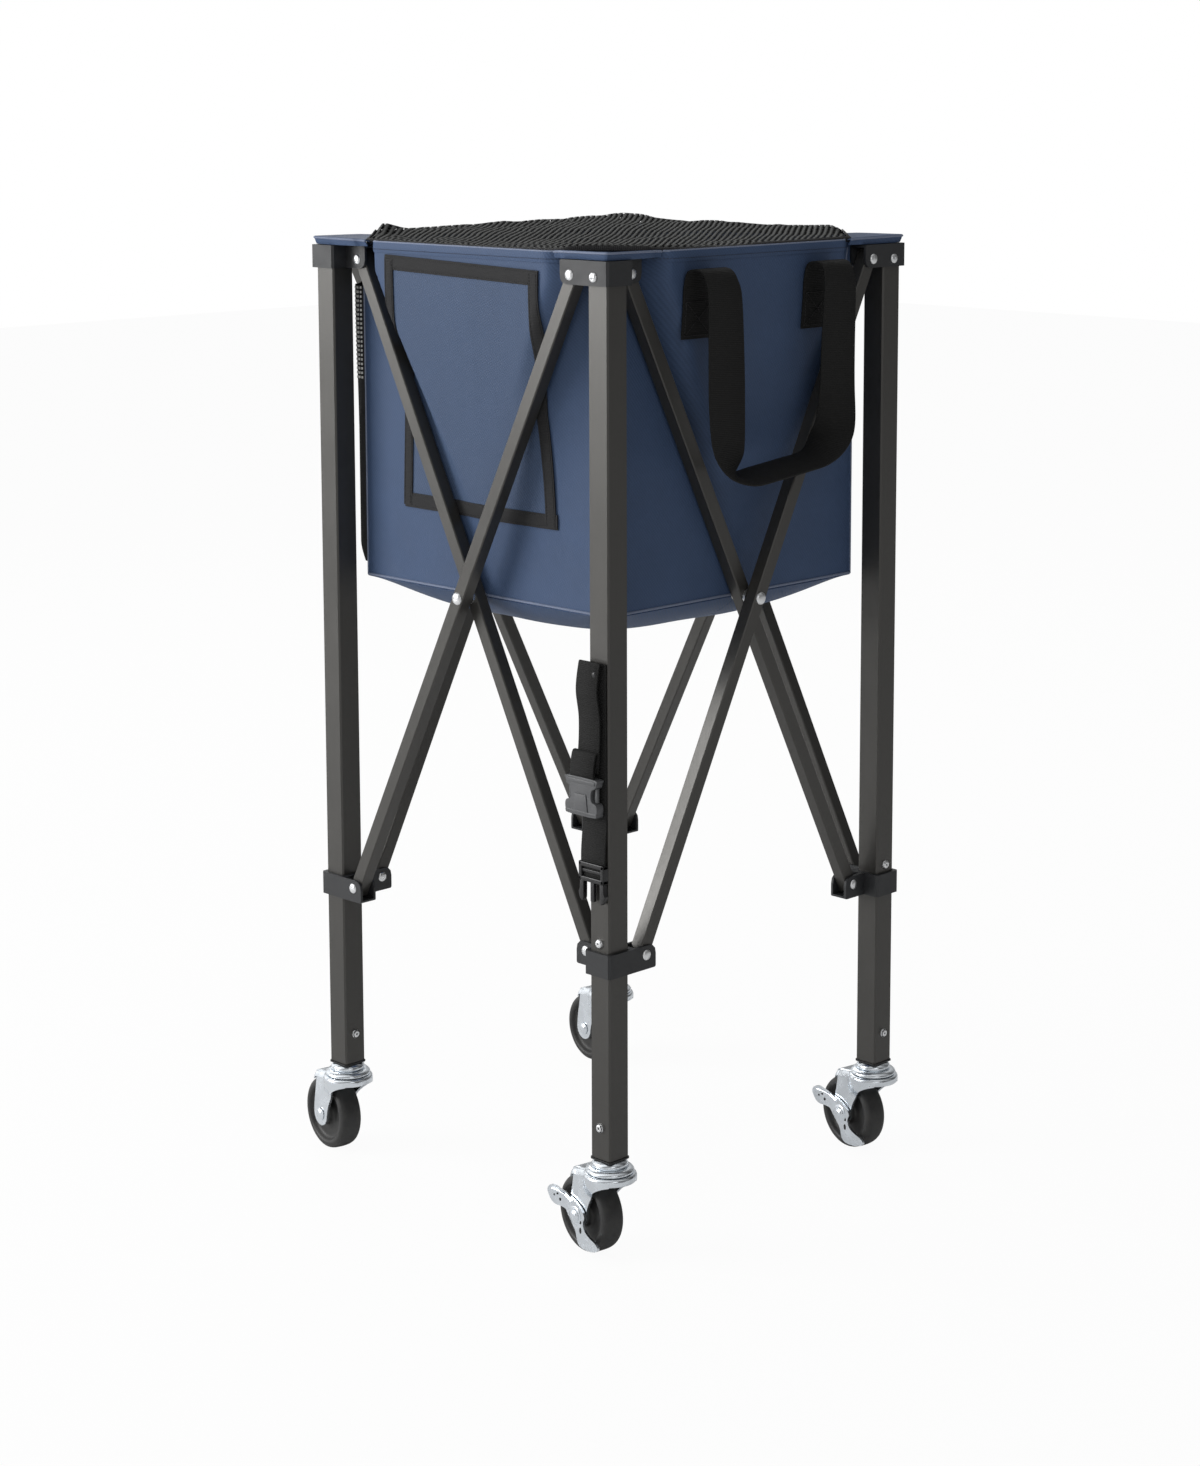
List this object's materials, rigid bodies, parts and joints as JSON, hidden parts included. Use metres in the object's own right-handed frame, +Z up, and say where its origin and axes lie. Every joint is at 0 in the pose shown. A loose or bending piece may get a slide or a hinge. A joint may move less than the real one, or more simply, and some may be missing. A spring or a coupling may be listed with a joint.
{
  "type": "folding ball cart",
  "caption": "Folding ball cart: square legs on swivel casters, scissor bars with sliding brackets, and a hung fabric bag with a mesh lid.",
  "frame": {"origin": "on the ground, under the middle of the cart's overall box", "axes": "+Z up, -Y the cart's front with the strap and the brake pedals, +X the side with the handle"},
  "size_m": [0.5004, 0.4266, 0.9475],
  "materials": {
    "frame_paint": "satin dark grey powder coat on square tube",
    "bracket_plastic": "matte dark grey moulding",
    "plug_plastic": "matte black moulding",
    "plated_steel": "bright zinc plated pressing",
    "rivet_aluminium": "bare rivet",
    "wheel_rubber": "black rubber tread and core",
    "bag_fabric": "navy coated woven fabric with a slight sheen",
    "lid_mesh": "dark grey open mesh fabric",
    "black_webbing": "black ribbed webbing and net",
    "buckle_plastic": "satin black buckle moulding"
  },
  "bodies": {
    "leg_front_right": {"leg_front_right": "frame_paint", "top_bracket_front_right": "bracket_plastic", "end_plug_front_right": "plug_plastic", "caster_head_front_right": "plated_steel", "bag_wall_front": "bag_fabric", "leg_strap": "black_webbing", "buckle_socket": "buckle_plastic", "buckle_prong": "buckle_plastic"},
    "leg_back_right": {"leg_back_right": "frame_paint", "top_bracket_back_right": "bracket_plastic", "end_plug_back_right": "plug_plastic", "caster_head_back_right": "plated_steel", "bag_wall_right": "bag_fabric"},
    "leg_back_left": {"leg_back_left": "frame_paint", "top_bracket_back_left": "bracket_plastic", "end_plug_back_left": "plug_plastic", "caster_head_back_left": "plated_steel", "bag_wall_back": "bag_fabric"},
    "leg_front_left": {"leg_front_left": "frame_paint", "top_bracket_front_left": "bracket_plastic", "end_plug_front_left": "plug_plastic", "caster_head_front_left": "plated_steel", "bag_wall_left": "bag_fabric", "net_pocket": "black_webbing"},
    "outer_bar_front": {"outer_bar_front": "frame_paint", "cross_rivet_front": "rivet_aluminium"},
    "inner_bar_front": {"inner_bar_front": "frame_paint"},
    "outer_bar_right": {"outer_bar_right": "frame_paint", "cross_rivet_right": "rivet_aluminium"},
    "inner_bar_right": {"inner_bar_right": "frame_paint"},
    "outer_bar_back": {"outer_bar_back": "frame_paint", "cross_rivet_back": "rivet_aluminium"},
    "inner_bar_back": {"inner_bar_back": "frame_paint"},
    "outer_bar_left": {"outer_bar_left": "frame_paint", "cross_rivet_left": "rivet_aluminium"},
    "inner_bar_left": {"inner_bar_left": "frame_paint"},
    "slider_front_right": {"slider_front_right": "bracket_plastic"},
    "slider_back_right": {"slider_back_right": "bracket_plastic"},
    "slider_back_left": {"slider_back_left": "bracket_plastic"},
    "slider_front_left": {"slider_front_left": "bracket_plastic"},
    "caster_fork_front_right": {"caster_fork_front_right": "plated_steel", "caster_axle_front_right": "plated_steel"},
    "caster_wheel_front_right": {"caster_wheel_front_right": "wheel_rubber"},
    "caster_fork_back_right": {"caster_fork_back_right": "plated_steel", "caster_axle_back_right": "plated_steel"},
    "caster_wheel_back_right": {"caster_wheel_back_right": "wheel_rubber"},
    "caster_fork_back_left": {"caster_fork_back_left": "plated_steel", "caster_axle_back_left": "plated_steel"},
    "caster_wheel_back_left": {"caster_wheel_back_left": "wheel_rubber"},
    "caster_fork_front_left": {"caster_fork_front_left": "plated_steel", "caster_axle_front_left": "plated_steel"},
    "caster_wheel_front_left": {"caster_wheel_front_left": "wheel_rubber"},
    "brake_lever_front_right": {"brake_lever_front_right": "plated_steel"},
    "brake_lever_back_right": {"brake_lever_back_right": "plated_steel"},
    "floor_front": {"floor_front": "bag_fabric"},
    "floor_back": {"floor_back": "bag_fabric"},
    "lid_tape": {"lid_tape": "black_webbing"},
    "lid_back": {"lid_back": "lid_mesh"},
    "lid_front": {"lid_front": "lid_mesh"},
    "handle": {"handle": "black_webbing"}
  },
  "joints": [
    {"name": "fold", "type": "hinge", "parent": "leg_front_right", "child": "outer_bar_front", "pos_m": [0.16301, -0.19515, 0.91168], "axis": [0, -1, 0], "range_deg": [0, 22.87], "deforming": ["bag_wall_front", "bag_wall_right", "bag_wall_back", "bag_wall_left", "net_pocket", "floor_front", "floor_back", "lid_tape", "lid_back", "lid_front", "handle"]},
    {"name": "front_crossing", "type": "hinge", "parent": "outer_bar_front", "child": "inner_bar_front", "pos_m": [0.00651, -0.1885, 0.59988], "axis": [0, -1, 0], "range_deg": [-46.66, 0]},
    {"name": "front_left_top", "type": "hinge", "parent": "inner_bar_front", "child": "leg_front_left", "pos_m": [-0.14999, -0.1778, 0.91168], "axis": [0, -1, 0], "range_deg": [0, 23.33]},
    {"name": "front_left_slider", "type": "hinge", "parent": "outer_bar_front", "child": "slider_front_left", "pos_m": [-0.14999, -0.19515, 0.28808], "axis": [0, -1, 0], "range_deg": [-23.33, 0]},
    {"name": "front_right_slider", "type": "hinge", "parent": "inner_bar_front", "child": "slider_front_right", "pos_m": [0.16301, -0.1778, 0.28808], "axis": [0, -1, 0], "range_deg": [0, 23.33]},
    {"name": "right_top", "type": "hinge", "parent": "leg_front_right", "child": "inner_bar_right", "pos_m": [0.18431, -0.1565, 0.91168], "axis": [1, 0, 0], "range_deg": [-23.33, 0]},
    {"name": "right_crossing", "type": "hinge", "parent": "inner_bar_right", "child": "outer_bar_right", "pos_m": [0.19501, 0, 0.59988], "axis": [1, 0, 0], "range_deg": [0, 46.66]},
    {"name": "back_right_top", "type": "hinge", "parent": "outer_bar_right", "child": "leg_back_right", "pos_m": [0.20166, 0.1565, 0.91168], "axis": [1, 0, 0], "range_deg": [-23.33, 0]},
    {"name": "back_right_slider", "type": "hinge", "parent": "inner_bar_right", "child": "slider_back_right", "pos_m": [0.18431, 0.1565, 0.28808], "axis": [1, 0, 0], "range_deg": [0, 23.33]},
    {"name": "left_top", "type": "hinge", "parent": "leg_front_left", "child": "outer_bar_left", "pos_m": [-0.18864, -0.1565, 0.91168], "axis": [-1, 0, 0], "range_deg": [0, 23.33]},
    {"name": "left_crossing", "type": "hinge", "parent": "outer_bar_left", "child": "inner_bar_left", "pos_m": [-0.18199, 0, 0.59988], "axis": [-1, 0, 0], "range_deg": [-46.66, 0]},
    {"name": "back_left_top", "type": "hinge", "parent": "inner_bar_left", "child": "leg_back_left", "pos_m": [-0.17129, 0.1565, 0.91168], "axis": [-1, 0, 0], "range_deg": [0, 23.33]},
    {"name": "back_left_slider", "type": "hinge", "parent": "outer_bar_left", "child": "slider_back_left", "pos_m": [-0.18864, 0.1565, 0.28808], "axis": [-1, 0, 0], "range_deg": [-23.33, 0]},
    {"name": "back_outer_top", "type": "hinge", "parent": "leg_back_left", "child": "outer_bar_back", "pos_m": [-0.14999, 0.19515, 0.91168], "axis": [0, 1, 0], "range_deg": [0, 23.33]},
    {"name": "back_inner_top", "type": "hinge", "parent": "leg_back_right", "child": "inner_bar_back", "pos_m": [0.16301, 0.1778, 0.91168], "axis": [0, 1, 0], "range_deg": [-23.33, 0]},
    {"name": "floor_front_crease", "type": "hinge", "parent": "leg_front_right", "child": "floor_front", "pos_m": [0.00651, -0.1688, 0.59938], "axis": [-1, 0, 0], "range_deg": [0, 79.49]},
    {"name": "floor_back_crease", "type": "hinge", "parent": "leg_back_left", "child": "floor_back", "pos_m": [0.00651, 0.1688, 0.59938], "axis": [1, 0, 0], "range_deg": [0, 79.49]},
    {"name": "lid_tape_fold", "type": "hinge", "parent": "leg_back_left", "child": "lid_tape", "pos_m": [0.00651, 0.196, 0.93098], "axis": [1, 0, 0], "range_deg": [0, 72.83]},
    {"name": "lid_open", "type": "hinge", "parent": "lid_tape", "child": "lid_back", "pos_m": [0.00651, 0.1897, 0.93258], "axis": [-1, 0, 0], "range_deg": [0, 120]},
    {"name": "lid_crease", "type": "hinge", "parent": "lid_back", "child": "lid_front", "pos_m": [0.00651, 0, 0.93258], "axis": [-1, 0, 0], "range_deg": [0, 145.67]},
    {"name": "handle_lift", "type": "hinge", "parent": "leg_back_right", "child": "handle", "pos_m": [0.22052, 0, 0.9145], "axis": [0, -1, 0], "range_deg": [0, 150]},
    {"name": "swivel_front_right", "type": "hinge", "parent": "leg_front_right", "child": "caster_fork_front_right", "pos_m": [0.19501, -0.1885, 0.09968], "axis": [0, 0, 1], "continuous": true},
    {"name": "roll_front_right", "type": "hinge", "parent": "caster_fork_front_right", "child": "caster_wheel_front_right", "pos_m": [0.16629, -0.18446, 0.03718], "axis": [-0.1392, -0.9903, 0], "continuous": true},
    {"name": "brake_front_right", "type": "hinge", "parent": "caster_fork_front_right", "child": "brake_lever_front_right", "pos_m": [0.16629, -0.18446, 0.03718], "axis": [-0.1392, -0.9903, 0], "range_deg": [0, 18]},
    {"name": "swivel_back_right", "type": "hinge", "parent": "leg_back_right", "child": "caster_fork_back_right", "pos_m": [0.19501, 0.1885, 0.09968], "axis": [0, 0, 1], "continuous": true},
    {"name": "roll_back_right", "type": "hinge", "parent": "caster_fork_back_right", "child": "caster_wheel_back_right", "pos_m": [0.16629, 0.19254, 0.03718], "axis": [-0.1392, -0.9903, 0], "continuous": true},
    {"name": "brake_back_right", "type": "hinge", "parent": "caster_fork_back_right", "child": "brake_lever_back_right", "pos_m": [0.16629, 0.19254, 0.03718], "axis": [-0.1392, -0.9903, 0], "range_deg": [0, 18]},
    {"name": "swivel_back_left", "type": "hinge", "parent": "leg_back_left", "child": "caster_fork_back_left", "pos_m": [-0.18199, 0.1885, 0.09968], "axis": [0, 0, 1], "continuous": true},
    {"name": "roll_back_left", "type": "hinge", "parent": "caster_fork_back_left", "child": "caster_wheel_back_left", "pos_m": [-0.21071, 0.19254, 0.03718], "axis": [-0.1392, -0.9903, 0], "continuous": true},
    {"name": "swivel_front_left", "type": "hinge", "parent": "leg_front_left", "child": "caster_fork_front_left", "pos_m": [-0.18199, -0.1885, 0.09968], "axis": [0, 0, 1], "continuous": true},
    {"name": "roll_front_left", "type": "hinge", "parent": "caster_fork_front_left", "child": "caster_wheel_front_left", "pos_m": [-0.21071, -0.18446, 0.03718], "axis": [-0.1392, -0.9903, 0], "continuous": true}
  ],
  "couplings": [
    {"joint": "front_crossing", "follows": "fold", "ratio": -2},
    {"joint": "front_left_top", "follows": "fold", "ratio": 1},
    {"joint": "front_left_slider", "follows": "fold", "ratio": -1},
    {"joint": "front_right_slider", "follows": "fold", "ratio": 1},
    {"joint": "right_top", "follows": "fold", "ratio": -1},
    {"joint": "right_crossing", "follows": "fold", "ratio": 2},
    {"joint": "back_right_top", "follows": "fold", "ratio": -1},
    {"joint": "back_right_slider", "follows": "fold", "ratio": 1},
    {"joint": "left_top", "follows": "fold", "ratio": 1},
    {"joint": "left_crossing", "follows": "fold", "ratio": -2},
    {"joint": "back_left_top", "follows": "fold", "ratio": 1},
    {"joint": "back_left_slider", "follows": "fold", "ratio": -1},
    {"joint": "back_outer_top", "follows": "fold", "ratio": 1},
    {"joint": "back_inner_top", "follows": "fold", "ratio": -1},
    {"joint": "floor_front_crease", "follows": "fold", "ratio": 3.4075},
    {"joint": "floor_back_crease", "follows": "fold", "ratio": 3.4075},
    {"joint": "lid_tape_fold", "follows": "fold", "ratio": 3.1222},
    {"joint": "lid_crease", "follows": "fold", "ratio": 6.2444}
  ]
}
